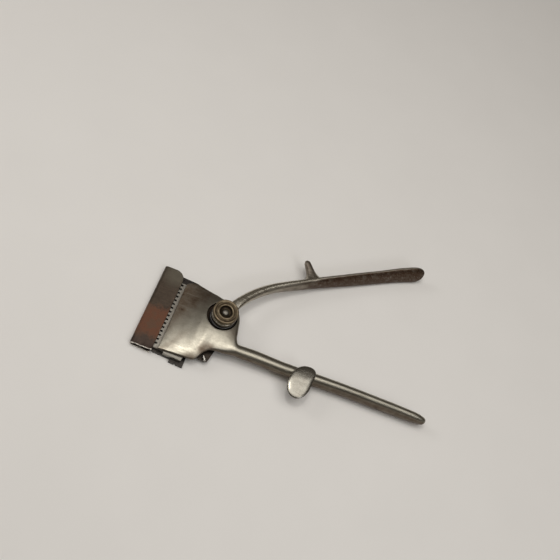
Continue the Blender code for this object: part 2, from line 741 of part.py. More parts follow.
HOOK_ROWS = [
    (71.6, 58.2, 15.0, 8.0, 8.4, 2.2),
    (70.4, 60.4, 11.6, 7.2, 8.8, 2.1),
    (69.2, 62.2, 8.0, 6.4, 9.0, 2.0),
    (67.8, 64.2, 5.9, 5.6, 9.1, 2.0),
    (65.7, 67.1, 4.9, 4.8, 9.2, 2.0),
    (63.5, 69.9, 4.0, 3.9, 9.3, 2.0),
    (62.4, 71.1, 1.8, 1.8, 9.3, 2.0),
]
MOVING_STEPS = 1
HANDLE_LEAN = 0.25  # sideways step of a flat section for each step up
LEAN_START = 36.0
LEAN_SPAN = 60.0


def path_rings(rows, steps, lean=0.0):
    """Sections standing across a plan path, with rings between the stations given."""
    stations = [through(rows, i + k / steps) for i in range(len(rows) - 1) for k in range(steps)]
    stations.append(list(rows[-1]))
    rings = []
    for i, (x, y, wide, tall, height, power) in enumerate(stations):
        before = stations[max(i - 1, 0)]
        after = stations[min(i + 1, len(stations) - 1)]
        along = Vector((after[0] - before[0], after[1] - before[1])).normalized()
        across = (-along.y, along.x)
        sheer = lean * min(1.0, max(0.0, (x - LEAN_START) / LEAN_SPAN))
        rings.append(oval_ring((x, y, height), across, wide, tall, power, sheer))
    return rings


def moving_handle():
    """Hub, curved arm and flat grip in one forging, with a finger hook on its outer side."""
    barrel_low = LEVER_Z + LEVER_THICK + GAP
    flange = NUT_RADIUS - 0.15
    profile = [
        (HUB_BORE, FLANGE_TOP), (flange - 0.4, FLANGE_TOP), (flange, FLANGE_TOP - 0.4),
        (flange, ARM_ROOT_Z + 0.2), (flange - 0.2, ARM_ROOT_Z),
        (BARREL_RADIUS, ARM_ROOT_Z), (BARREL_RADIUS, barrel_low), (HUB_BORE, barrel_low),
    ]
    item = turned("moving_handle", profile, dark_nickel(), (PIVOT_X, PIVOT_Y, 0.0), closed=True)
    join(item, loft("arm", path_rings(MOVING_HANDLE_ROWS, MOVING_STEPS, HANDLE_LEAN), None, CUTTERS_NAME))
    join(item, loft("finger_hook", path_rings(HOOK_ROWS, 1), None, CUTTERS_NAME))
    cut(item, rod("hub_bore", HUB_BORE, 0.0, 20.0, None, (PIVOT_X, PIVOT_Y), CUTTERS_NAME, SEGMENTS))
    hole = on_pivot(SPRING_RADIUS, ARM_DEG)
    cut(item, rod("spring_hole", SPRING_WIRE / 2 + GAP, 10.0, SPRING_TAIL_Z + GAP, None, hole, CUTTERS_NAME))
    for i, at in enumerate(lever_rivet_places()):
        top = LEVER_RIVET_TOP + GAP
        cut(item, rod(f"barrel_hole_{i}", RIVET_RADIUS + GAP, 3.0, top, None, at, CUTTERS_NAME))
    return item


def lever_rivet_places():
    return [on_pivot(LEVER_RIVET_REACH, angle) for angle in (60, 300)]


def drive_lever():
    """Stamped lever under the hub, with the round tip that drives the yoke."""
    ring = 7.0
    root_half = 3.5
    neck_half = 1.5
    root = math.degrees(math.asin(root_half / ring))
    neck = math.degrees(math.asin(neck_half / TIP_RADIUS))
    outline = []
    for i in range(25):
        angle = math.radians(root + (360 - 2 * root) * i / 24)
        outline.append((ring * math.cos(angle), ring * math.sin(angle)))
    for i in range(13):
        angle = math.radians(-180 + neck + (360 - 2 * neck) * i / 12)
        outline.append((DRIVE_RADIUS + TIP_RADIUS * math.cos(angle), TIP_RADIUS * math.sin(angle)))
    item = plate("drive_lever", outline, LEVER_Z, LEVER_Z + LEVER_THICK, blade_steel())
    item.location.x = PIVOT_X * MM
    item.location.y = PIVOT_Y * MM
    item.rotation_euler.z = math.radians(180 + SQUEEZE_DEG / 2)
    cut(item, rod("lever_bore", HUB_BORE, 0.0, 8.0, None, (PIVOT_X, PIVOT_Y), CUTTERS_NAME, SEGMENTS))
    for i, at in enumerate(lever_rivet_places()):
        cut(item, rod(f"lever_hole_{i}", RIVET_RADIUS + GAP, 0.0, 8.0, None, at, CUTTERS_NAME))
    return item


def lever_rivets():
    """Rivets that hold the lever to the hub."""
    for i, at in enumerate(lever_rivet_places()):
        rod(f"lever_rivet_{i + 1}", RIVET_RADIUS, LEVER_Z, LEVER_RIVET_TOP, bright_steel(), at, steps=20)


def torsion_spring():
    """Coil round the hub, one end down in the frame's ledge and the other up in the arm's root."""
    points = []
    turn_steps = 18
    count = round(SPRING_TURNS * turn_steps)
    start = ARM_DEG - 360 * SPRING_TURNS
    bend = 10.0  # degrees of coil given up to each end's bend
    x, y = on_pivot(SPRING_RADIUS, start)
    points += [(x, y, LEDGE_Z + 0.3), (x, y, SPRING_Z - 1.0)]
    for i in range(count + 1):
        part = i / count
        angle = start + bend + (360 * SPRING_TURNS - 2 * bend) * part
        x, y = on_pivot(SPRING_RADIUS, angle)
        points.append((x, y, SPRING_Z + SPRING_PITCH * SPRING_TURNS * part))
    x, y = on_pivot(SPRING_RADIUS, ARM_DEG)
    points += [(x, y, points[-1][2] + 1.0), (x, y, SPRING_TAIL_Z)]
    curve = bpy.data.curves.new("torsion_spring", "CURVE")
    curve.dimensions = "3D"
    curve.bevel_depth = SPRING_WIRE / 2 * MM
    curve.bevel_resolution = 2
    curve.use_fill_caps = True
    line = curve.splines.new("POLY")
    line.points.add(len(points) - 1)
    for point, place in zip(line.points, points):
        point.co = (*(Vector(place) * MM), 1.0)
    guide = bpy.data.objects.new("torsion_spring_guide", curve)
    collection(PARTS_NAME).objects.link(guide)
    mesh = evaluated_mesh(guide)
    bpy.data.objects.remove(guide, do_unlink=True)
    bpy.data.curves.remove(curve)
    work = bmesh.new()
    work.from_mesh(mesh)
    bmesh.ops.remove_doubles(work, verts=work.verts[:], dist=0.000005)
    return add_object("torsion_spring", mesh_from_bmesh("torsion_spring", work), spring_steel())


# Pivot ------------------------------------------------------------------------------------------------
def pivot_screw():
    """Shouldered screw up through the bridge, with a domed end in the nut's middle."""
    end = NUT_Z + 2.2
    profile = [
        (0.0, end), (1.0, end - 0.12), (1.6, end - 0.45), (SCREW_END_RADIUS, end - 0.9),
        (SCREW_END_RADIUS, FLANGE_TOP + 0.6), (SCREW_RADIUS, FLANGE_TOP + 0.3),
        (SCREW_RADIUS, BRIDGE_Z - GAP),
        (4.4, BRIDGE_Z - GAP), (4.4, 1.4), (4.0, 1.1), (0.0, 1.1),
    ]
    item = turned("pivot_screw", profile, bright_steel(), (PIVOT_X, PIVOT_Y, 0.0), steps=32)
    low = (PIVOT_X - 6, PIVOT_Y - 0.45, 0.0)
    cut(item, box("screw_slot", low, (PIVOT_X + 6, PIVOT_Y + 0.45, 1.8), None, CUTTERS_NAME))
    return item


def pivot_bush():
    """Bronze sleeve that the hub turns on."""
    low = BRIDGE_Z + BRIDGE_THICK + GAP
    inner = SCREW_RADIUS + GAP
    return tube("pivot_bush", inner, BUSH_OUTER, low, FLANGE_TOP, tarnished_bronze(), (PIVOT_X, PIVOT_Y))


def tension_washer():
    """Thin washer between the hub and the nut."""
    place = (PIVOT_X, PIVOT_Y)
    return tube("tension_washer", 2.9, 6.6, FLANGE_TOP + GAP, NUT_Z - GAP, blade_steel(), place)


def tension_nut():
    """Round dished nut: raised rim, groove, inner ring and a deep middle round the screw's end."""
    top = NUT_Z + NUT_HEIGHT
    bore = SCREW_END_RADIUS + GAP
    profile = [
        (bore, NUT_Z + 1.2), (3.4, NUT_Z + 1.3), (3.75, top - 0.35), (4.1, top - 0.1), (4.9, top - 0.1),
        (5.2, top - 0.55), (6.0, top - 0.6), (6.4, top - 0.1), (6.8, top), (7.3, top - 0.1),
        (NUT_RADIUS, top - 0.5), (NUT_RADIUS, NUT_Z + 0.4), (NUT_RADIUS - 0.4, NUT_Z), (bore, NUT_Z),
    ]
    return turned("tension_nut", profile, tarnished_bronze(), (PIVOT_X, PIVOT_Y, 0.0), closed=True)


# Blade guard --------------------------------------------------------------------------------------------
def guard_profile():
    """Middle of the folded sheet as (x, z) points, from the lower rear edge round to the upper one."""
    low = 0.1 + GUARD_SHEET / 2
    fold_top = 3.9
    radius = (fold_top - low) / 2
    centre_x = GUARD_FRONT + GUARD_SHEET / 2 + radius
    points = [(GUARD_REAR - 0.6, low), ((GUARD_REAR + centre_x) / 2, low)]
    for i in range(9):
        angle = math.radians(-90 - 180 * i / 8)
        points.append((centre_x + radius * math.cos(angle), low + radius + radius * math.sin(angle)))
    reach = GUARD_REAR - centre_x
    for i in range(1, 9):
        points.append((centre_x + reach * i / 8, fold_top + 1.35 * i / 8))
    return points


def blade_guard():
    """Sheet folded over both rows of teeth, with one rounded rear corner."""
    work = bmesh.new()
    columns = 8
    rows = []
    for x, z in guard_profile():
        into = max(0.0, x - (GUARD_REAR - GUARD_CORNER))
        far = GUARD_FAR - GUARD_CORNER + math.sqrt(max(0.2, GUARD_CORNER**2 - into**2))
        places = [GUARD_NEAR + (far - GUARD_NEAR) * k / columns for k in range(columns + 1)]
        rows.append([work.verts.new(Vector((x, y, z)) * MM) for y in places])
    for first, second in zip(rows, rows[1:]):
        for k in range(columns):
            work.faces.new((first[k], first[k + 1], second[k + 1], second[k]))
    item = add_object("blade_guard", mesh_from_bmesh("blade_guard", work), rusty_sheet())
    skin = item.modifiers.new("sheet", "SOLIDIFY")
    skin.thickness = GUARD_SHEET * MM
    skin.offset = 0.0
    skin.use_even_offset = True
    return item


def main():
    clear_scene()
    frame()
    thumb_rest()
    thumb_rest_rivet()
    comb_plate()
    bridge()
    stop_pin()
    stud()
    comb_shims()
    comb_screws()
    bridge_posts()
    bridge_screws()
    cutter_plate()
    cutter_yoke()
    yoke_rivets()
    moving_handle()
    drive_lever()
    lever_rivets()
    torsion_spring()
    pivot_screw()
    pivot_bush()
    tension_washer()
    tension_nut()
    blade_guard()


main()
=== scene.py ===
"""Hand hair clipper: worn nickel frame and handles, steel blades, bronze nut and a rusty blade guard."""
import math

import bmesh
import bpy
from mathutils import Matrix, Vector, noise


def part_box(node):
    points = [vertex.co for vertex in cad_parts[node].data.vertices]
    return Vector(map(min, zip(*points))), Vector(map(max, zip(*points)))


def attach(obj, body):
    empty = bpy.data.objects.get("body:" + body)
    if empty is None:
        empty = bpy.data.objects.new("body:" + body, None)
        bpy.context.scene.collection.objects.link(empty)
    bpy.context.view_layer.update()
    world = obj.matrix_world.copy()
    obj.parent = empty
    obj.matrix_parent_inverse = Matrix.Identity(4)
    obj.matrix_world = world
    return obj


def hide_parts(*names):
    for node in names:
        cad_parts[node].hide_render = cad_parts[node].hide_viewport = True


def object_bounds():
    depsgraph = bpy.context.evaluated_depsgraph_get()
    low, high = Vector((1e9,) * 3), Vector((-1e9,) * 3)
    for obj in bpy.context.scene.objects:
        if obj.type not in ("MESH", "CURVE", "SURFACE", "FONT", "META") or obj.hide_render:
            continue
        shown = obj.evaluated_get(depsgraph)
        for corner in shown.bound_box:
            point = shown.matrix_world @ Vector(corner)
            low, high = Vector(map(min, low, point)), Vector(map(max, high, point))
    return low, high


MM = 0.001
# Places on the clipper, in millimetres of the shared frame.
PIVOT = (27.3, 10.2)
WELL = (26.8, 10.8)
WELL_RADIUS = 9.2
BOSS_RADIUS = 10.7
BRIDGE_SCREWS = {"bridge_screw_1": (20.2, -13.2), "bridge_screw_2": (17.9, 20.5)}
REST_PIN = (83.2, -2.3)
REST_PIN_HOLE = 1.4
# The torsion spring's wire, and the angles round the pivot of its two ends.
SPRING_RADIUS = 7.2
SPRING_WIRE = 1.5
SPRING_HOLE = 1.05
SPRING_TURNS = 1.7
SPRING_TOP = 65
SPRING_FOOT = SPRING_TOP - 360 * SPRING_TURNS
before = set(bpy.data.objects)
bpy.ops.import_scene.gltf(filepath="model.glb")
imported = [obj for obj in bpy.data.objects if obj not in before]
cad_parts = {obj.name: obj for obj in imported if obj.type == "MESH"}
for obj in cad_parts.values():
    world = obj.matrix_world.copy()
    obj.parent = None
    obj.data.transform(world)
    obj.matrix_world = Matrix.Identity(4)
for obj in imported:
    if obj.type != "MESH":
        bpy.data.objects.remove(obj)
cad_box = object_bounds()


# Camera, light and floor -------------------------------------------------------------------------
def camera():
    """The photograph's view: from the near side, high above the clipper."""
    data = bpy.data.cameras.new("camera")
    data.lens = 51.43
    data.sensor_width = 36.0
    data.clip_start = 0.01
    right = Vector((0.9048, 0.3137, 0.288)).normalized()
    back = right.cross(Vector((-0.4135, 0.8089, 0.418))).normalized()
    up = back.cross(right)
    turn = Matrix((right, up, back)).transposed().to_4x4()
    item = bpy.data.objects.new("camera", data)
    item.matrix_world = Matrix.Translation((0.00063, -0.1961, 0.4364)) @ turn
    bpy.context.scene.collection.objects.link(item)
    bpy.context.scene.camera = item


def soft_light(name, place, target, size, power, colour):
    """A rectangular soft box that faces a point."""
    data = bpy.data.lights.new(name, "AREA")
    data.shape = "RECTANGLE"
    data.size, data.size_y = size
    data.energy = power
    data.color = colour
    item = bpy.data.objects.new(name, data)
    item.location = place
    aim = Vector(target) - Vector(place)
    item.rotation_euler = aim.to_track_quat("-Z", "Y").to_euler()
    bpy.context.scene.collection.objects.link(item)


def studio():
    """Pale floor, even surroundings and large soft boxes."""
    middle = (0.07, 0.03, 0.0)
    soft_light("overhead", (0.07, 0.0, 0.80), middle, (0.86, 0.60), 3.3, (1.0, 0.975, 0.94))
    soft_light("key", (-0.10, 0.02, 0.80), middle, (0.09, 0.09), 0.6, (1.0, 0.97, 0.92))
    soft_light("left", (-0.55, 0.10, 0.45), middle, (0.22, 0.22), 0.6, (1.0, 0.98, 0.96))
    soft_light("right", (0.55, -0.35, 0.60), middle, (0.22, 0.22), 0.6, (0.97, 0.98, 1.0))
    world = bpy.data.worlds.new("studio")
    world.use_nodes = True
    world.node_tree.nodes["Background"].inputs["Color"].default_value = (0.60, 0.53, 0.45, 1.0)
    world.node_tree.nodes["Background"].inputs["Strength"].default_value = 0.20
    bpy.context.scene.world = world
    bpy.context.scene.view_settings.view_transform = "Standard"
    work = bmesh.new()
    bmesh.ops.create_grid(work, x_segments=1, y_segments=1, size=3.0)
    mesh = bpy.data.meshes.new("floor")
    work.to_mesh(mesh)
    work.free()
    item = bpy.data.objects.new("floor", mesh)
    item.location = (0.0, 0.0, cad_box[0].z - 0.0001)
    bpy.context.scene.collection.objects.link(item)
    recipe = Recipe("floor_paper")
    tone = recipe.noise(0.02, detail=2)
    recipe.colour(recipe.mix(tone, (0.84, 0.825, 0.80), (0.88, 0.865, 0.84)))
    recipe.set("Metallic", 0.0)
    recipe.set("Roughness", 0.85)
    mesh.materials.append(recipe.material)


# Materials ---------------------------------------------------------------------------------------
class Recipe:
    """One node material whose patterns are read in the piece's own millimetres."""

    def __init__(self, name):
        self.material = bpy.data.materials.new(name)
        self.material.use_nodes = True
        self.nodes = self.material.node_tree.nodes
        self.links = self.material.node_tree.links
        self.shader = self.nodes["Principled BSDF"]
        self.set("Metallic", 1.0)
        coordinates = self.nodes.new("ShaderNodeTexCoord")
        self.place = self.vector("MULTIPLY", coordinates.outputs["Object"], (1000.0, 1000.0, 1000.0))
        self.geometry = self.nodes.new("ShaderNodeNewGeometry")
        self.normal = coordinates.outputs["Normal"]

    def put(self, value, socket):
        """Link a node's output to a socket, or write a plain value in it."""
        if isinstance(value, bpy.types.NodeSocket):
            self.links.new(value, socket)
        elif isinstance(value, tuple) and socket.type == "RGBA":
            socket.default_value = (*value, 1.0)
        else:
            socket.default_value = value

    def set(self, name, value):
        self.put(value, self.shader.inputs[name])

    def colour(self, value):
        self.set("Base Color", value)

    def vector(self, operation, a, b):
        node = self.nodes.new("ShaderNodeVectorMath")
        node.operation = operation
        self.put(a, node.inputs[0])
        self.put(b, node.inputs[1])
        return node.outputs["Value" if operation in ("DOT_PRODUCT", "DISTANCE") else "Vector"]

    def math(self, operation, a, b=0.0, clamp=False):
        node = self.nodes.new("ShaderNodeMath")
        node.operation = operation
        node.use_clamp = clamp
        self.put(a, node.inputs[0])
        self.put(b, node.inputs[1])
        return node.outputs[0]

    def add(self, a, b):
        return self.math("ADD", a, b, clamp=True)

    def times(self, a, b):
        return self.math("MULTIPLY", a, b, clamp=True)

    def step(self, value, low, high, start=0.0, end=1.0):
        """Rise smoothly from start to end while the value goes from low to high."""
        node = self.nodes.new("ShaderNodeMapRange")
        node.interpolation_type = "SMOOTHSTEP"
        for socket, number in zip(node.inputs, (value, low, high, start, end)):
            self.put(number, socket)
        return node.outputs["Result"]

    def mix(self, part, a, b):
        node = self.nodes.new("ShaderNodeMix")
        node.data_type = "RGBA"
        self.put(part, node.inputs["Factor"])
        self.put(a, node.inputs[6])
        self.put(b, node.inputs[7])
        return node.outputs[2]

    def noise(self, scale, detail=4, rough=0.55, distort=0.0, place=None):
        node = self.nodes.new("ShaderNodeTexNoise")
        node.inputs["Scale"].default_value = scale
        node.inputs["Detail"].default_value = detail
        node.inputs["Roughness"].default_value = rough
        node.inputs["Distortion"].default_value = distort
        self.put(self.place if place is None else place, node.inputs["Vector"])
        return node.outputs["Fac"]

    def cells(self, scale):
        """Distance to the nearest point of a random scatter."""
        node = self.nodes.new("ShaderNodeTexVoronoi")
        node.inputs["Scale"].default_value = scale
        self.put(self.place, node.inputs["Vector"])
        return node.outputs["Distance"]

    def turned(self, degrees, stretch):
        """Coordinates turned about Z and then scaled along each axis."""
        node = self.nodes.new("ShaderNodeMapping")
        node.inputs["Rotation"].default_value = (0.0, 0.0, math.radians(degrees))
        node.inputs["Scale"].default_value = stretch
        self.put(self.place, node.inputs["Vector"])
        return node.outputs[0]

    def along(self, direction, low, high):
        """Rise from 0 to 1 while the place along a plan direction goes from low to high."""
        return self.step(self.vector("DOT_PRODUCT", self.place, direction), low, high)

    def around(self, centre, inner, outer):
        """1 within the inner distance of a point, falling to 0 at the outer one."""
        return self.step(self.vector("DISTANCE", self.place, centre), inner, outer, 1.0, 0.0)

    def facing(self, direction, low, high):
        """Rise from 0 to 1 as the surface's own normal turns to a direction."""
        return self.step(self.vector("DOT_PRODUCT", self.normal, direction), low, high)

    def edges(self, low=0.51, high=0.56):
        """1 on outer edges, where handling rubs the surface bright."""
        return self.step(self.geometry.outputs["Pointiness"], low, high)

    def creases(self):
        """1 in inner corners."""
        return self.step(self.geometry.outputs["Pointiness"], 0.44, 0.49, 1.0, 0.0)

    def scratches(self, degrees, fine=2.2):
        """A few long thin lines at an angle in the plan."""
        lines = self.noise(1.0, detail=1, distort=0.15, place=self.turned(degrees, (0.035, fine, 0.3)))
        return self.step(lines, 0.69, 0.75)

    def bumps(self, *layers):
        """Stack height layers, each a value with its depth in millimetres."""
        below = None
        for value, depth in layers:
            node = self.nodes.new("ShaderNodeBump")
            node.inputs["Strength"].default_value = 1.0
            node.inputs["Distance"].default_value = depth * MM
            self.put(value, node.inputs["Height"])
            if below is not None:
                self.put(below, node.inputs["Normal"])
            below = node.outputs[0]
        self.set("Normal", below)


def worn_metal(name, light, dark, darkening, smooth, dull, scratch=1.0, grime_and_shade=0.0, dents=0.04):
    """Metal that goes from a rubbed light colour to a dark one where the mask says; the mask is tarnish, and
    on some pieces painted shade as well.
    """
    recipe = Recipe(name)
    zone = darkening(recipe)
    cloud = recipe.noise(0.22, detail=6, rough=0.62)
    mottle = recipe.noise(1.3, detail=5, rough=0.6)
    specks = recipe.step(recipe.cells(0.9), 0.10, 0.17, 1.0, 0.0)
    specks = recipe.times(specks, recipe.step(recipe.noise(0.35), 0.55, 0.75))
    lines = recipe.add(recipe.scratches(24), recipe.scratches(-61, 2.8))
    lines = recipe.times(recipe.add(lines, recipe.scratches(83, 2.5)), scratch)
    spread = recipe.math("SUBTRACT", recipe.math("MULTIPLY", cloud, 0.9), 0.45)
    mask = recipe.add(recipe.math("ADD", zone, spread), recipe.math("MULTIPLY", specks, 0.5))
    mask = recipe.math("SUBTRACT", mask, recipe.math("MULTIPLY", recipe.edges(), 0.45), clamp=True)
    # Darker in inner corners.
    mask = recipe.add(mask, recipe.math("MULTIPLY", recipe.creases(), 0.6))
    strokes = recipe.noise(1.0, detail=4, rough=0.6, place=recipe.turned(-57, (0.03, 0.55, 0.4)))
    body = recipe.mix(mask, light, dark)
    body = recipe.mix(recipe.step(strokes, 0.45, 0.75, 0.0, 0.3), body, tuple(c * 0.6 for c in light))
    body = recipe.mix(recipe.step(mottle, 0.35, 0.7, 0.0, 0.22), body, tuple(c * 0.55 for c in light))
    body = recipe.mix(recipe.math("MULTIPLY", lines, 0.25), body, tuple(min(1.0, c * 1.15) for c in light))
    # Near black where the mask tops out: grime, and painted shade in the spring's well and the nut's middle.
    body = recipe.mix(recipe.step(mask, 0.9, 1.0, 0.0, 0.75 * grime_and_shade), body, (0.012, 0.010, 0.009))
    recipe.colour(body)
    gloss = recipe.step(mask, 0.0, 1.0, smooth, dull)
    gloss = recipe.math("ADD", gloss, recipe.step(mottle, 0.3, 0.7, -0.03, 0.05))
    gloss = recipe.math("ADD", gloss, recipe.step(strokes, 0.3, 0.7, -0.03, 0.05))
    recipe.set("Roughness", recipe.math("ADD", gloss, recipe.math("MULTIPLY", lines, 0.08)))
    recipe.bumps(
        (recipe.noise(0.35, detail=2), dents),
        (mottle, 0.004),
        (strokes, 0.008),
        (recipe.math("MULTIPLY", lines, -1.0), 0.006),
        (recipe.math("MULTIPLY", specks, -1.0), 0.02),
    )
    return recipe


NICKEL = (0.315, 0.296, 0.247)
BROWN = (0.085, 0.050, 0.029)
FAR_FRONT = (-0.837, 0.547, 0.0)


def frame_tarnish_and_shade(recipe):
    """Tarnish and painted shade: dark over the far front of the shield, partly tarnish and partly a painted
    dark reflection, and along its low and downward-facing edges as painted shade; near black in the spring's
    well as painted shade; clean from the well to the near front.
    """
    # Far front: tarnish with a painted dark reflection over it, fading out behind x 24 to 36.
    far_front = recipe.along(FAR_FRONT, -12.0, 5.0)
    behind = recipe.along((1.0, 0.0, 0.0), 24.0, 36.0)
    far_front = recipe.math("MULTIPLY", far_front, recipe.math("SUBTRACT", 1.0, behind))
    # Painted dark reflection: a streak parallel to the front edge, a little behind it, on the front part
    # only.
    line = recipe.vector("DOT_PRODUCT", recipe.place, FAR_FRONT)
    reflection_streak = recipe.times(recipe.step(line, -16.5, -13.5), recipe.step(line, -13.5, -10.5, 1.0, 0.0))
    reflection_streak = recipe.times(reflection_streak, recipe.along((1.0, 0.0, 0.0), 16.0, 8.0))
    # Darker spots: painted shade in the cove by the neck, a darker patch at the near shoulder and a painted
    # dark reflection right of the well.
    spots = [
        ((26.0, -12.8, 8.0), 1.5, 7.5, 1.1),
        ((19.0, -21.0, 7.0), 0.5, 6.5, 0.8),
        ((37.5, 3.5, 9.0), 1.0, 9.0, 0.6),
    ]
    mask = recipe.math("MULTIPLY", far_front, 1.05)
    mask = recipe.math("ADD", mask, recipe.math("MULTIPLY", reflection_streak, 0.35))
    for centre, inner, outer, depth in spots:
        mask = recipe.math("ADD", mask, recipe.math("MULTIPLY", recipe.around(centre, inner, outer), depth))
    # Painted shade on the downward-facing and low parts.
    underside_shade = recipe.facing((0.0, -0.6, -0.8), -0.35, 0.45)
    low = recipe.along((0.0, 0.0, 1.0), 7.2, 3.2)
    mask = recipe.math("ADD", mask, recipe.math("MULTIPLY", recipe.math("MAXIMUM", low, underside_shade), 0.8))
    # Painted shade: the well's floor goes near black.
    flat = recipe.vector("MULTIPLY", recipe.place, (1.0, 1.0, 0.0))
    out = recipe.vector("DISTANCE", flat, (*WELL, 0.0))
    well = recipe.step(out, WELL_RADIUS - 0.3, WELL_RADIUS + 0.3, 2.0, 0.0)
    return recipe.math("ADD", recipe.math("MINIMUM", mask, 0.8), well)


def handle_tarnish_and_shade(recipe):
    """Brown over the grip's inner face, more so towards its end: a painted dark reflection on the near-facing
    side and painted shade underneath, with darkening along the grip and round the hook.
    """
    # Painted dark reflection on the near-facing side.
    inner = recipe.facing((0.5, -0.85, 0.0), 0.0, 0.7)
    grip = recipe.along((0.84, 0.54, 0.0), 50.0, 130.0)
    # Painted shade on the underside.
    underside_shade = recipe.facing((0.0, -0.4, -0.9), -0.4, 0.3)
    mask = recipe.math("MULTIPLY", inner, recipe.step(grip, 0.0, 1.0, 0.35, 1.0))
    mask = recipe.math("MAXIMUM", mask, recipe.math("MULTIPLY", underside_shade, 0.6))
    hook = recipe.math("MULTIPLY", recipe.around((66.0, 66.5, 9.3), 4.0, 9.0), 0.45)
    return recipe.math("ADD", recipe.math("MAXIMUM", mask, hook), recipe.math("MULTIPLY", grip, 0.5))


def frame_nickel():
    return worn_metal("frame_nickel_worn_and_shaded", NICKEL, BROWN, frame_tarnish_and_shade, 0.32, 0.46, grime_and_shade=1.0).material


def handle_nickel():
    # The light colour sits well above the frame's nickel: a painted highlight on the clean arm, darkened by
    # the mask towards the grip.
    light, dark = (0.58, 0.545, 0.465), (0.055, 0.024, 0.010)
    return worn_metal("handle_nickel_worn_and_shaded", light, dark, handle_tarnish_and_shade, 0.22, 0.45, dents=0.012).material


def polished_nickel():
    def darkening(recipe):
        return recipe.math("MULTIPLY", recipe.noise(0.25, detail=3), 0.25)

    light = (0.31, 0.297, 0.26)
    return worn_metal("polished_nickel_worn", light, BROWN, darkening, 0.21, 0.4, 0.6, dents=0.015).material


def bronze():
    def darkening(recipe):
        flat = recipe.vector("MULTIPLY", recipe.place, (1.0, 1.0, 0.0))
        # Painted shade: near black in the nut's middle round the screw's end.
        middle = recipe.step(recipe.vector("DISTANCE", flat, (*PIVOT, 0.0)), 3.4, 4.2, 1.1, 0.0)
        return recipe.math("ADD", recipe.math("MULTIPLY", recipe.noise(0.5, detail=4), 0.9), middle)

    light = (0.27, 0.215, 0.14)
    return worn_metal("bronze_tarnished_and_shaded", light, (0.05, 0.034, 0.022), darkening, 0.28, 0.5, grime_and_shade=0.6).material


def fastener_steel():
    def darkening(recipe):
        return recipe.math("MULTIPLY", recipe.noise(0.6, detail=3), 0.4)

    return worn_metal("fastener_steel_worn", (0.58, 0.56, 0.52), BROWN, darkening, 0.24, 0.5).material


def dull_steel():
    def darkening(recipe):
        return recipe.math("MULTIPLY", recipe.noise(0.9, detail=4), 0.5)

    return worn_metal("screw_steel_dull", (0.34, 0.33, 0.29), BROWN, darkening, 0.42, 0.55).material


def ground_steel(name, light, brown, stripes):
    """Ground blade steel: brown staining, with fine lines and pits in place of the worn metal's dents."""
    def darkening(recipe):
        return recipe.math("MULTIPLY", recipe.noise(0.3, detail=5), brown)

    recipe = worn_metal(name, light, BROWN, darkening, 0.36, 0.6)
    lines = recipe.noise(1.0, detail=3, place=recipe.turned(0, stripes))
    recipe.bumps((lines, 0.02), (recipe.noise(2.2, detail=4), 0.012))
    return recipe.material


def dark_spring():
    def darkening(recipe):
        return recipe.math("MULTIPLY", recipe.noise(0.5, detail=4), 0.6)

    light, dark = (0.085, 0.082, 0.078), (0.03, 0.02, 0.015)
    return worn_metal("spring_steel_dark", light, dark, darkening, 0.3, 0.5).material


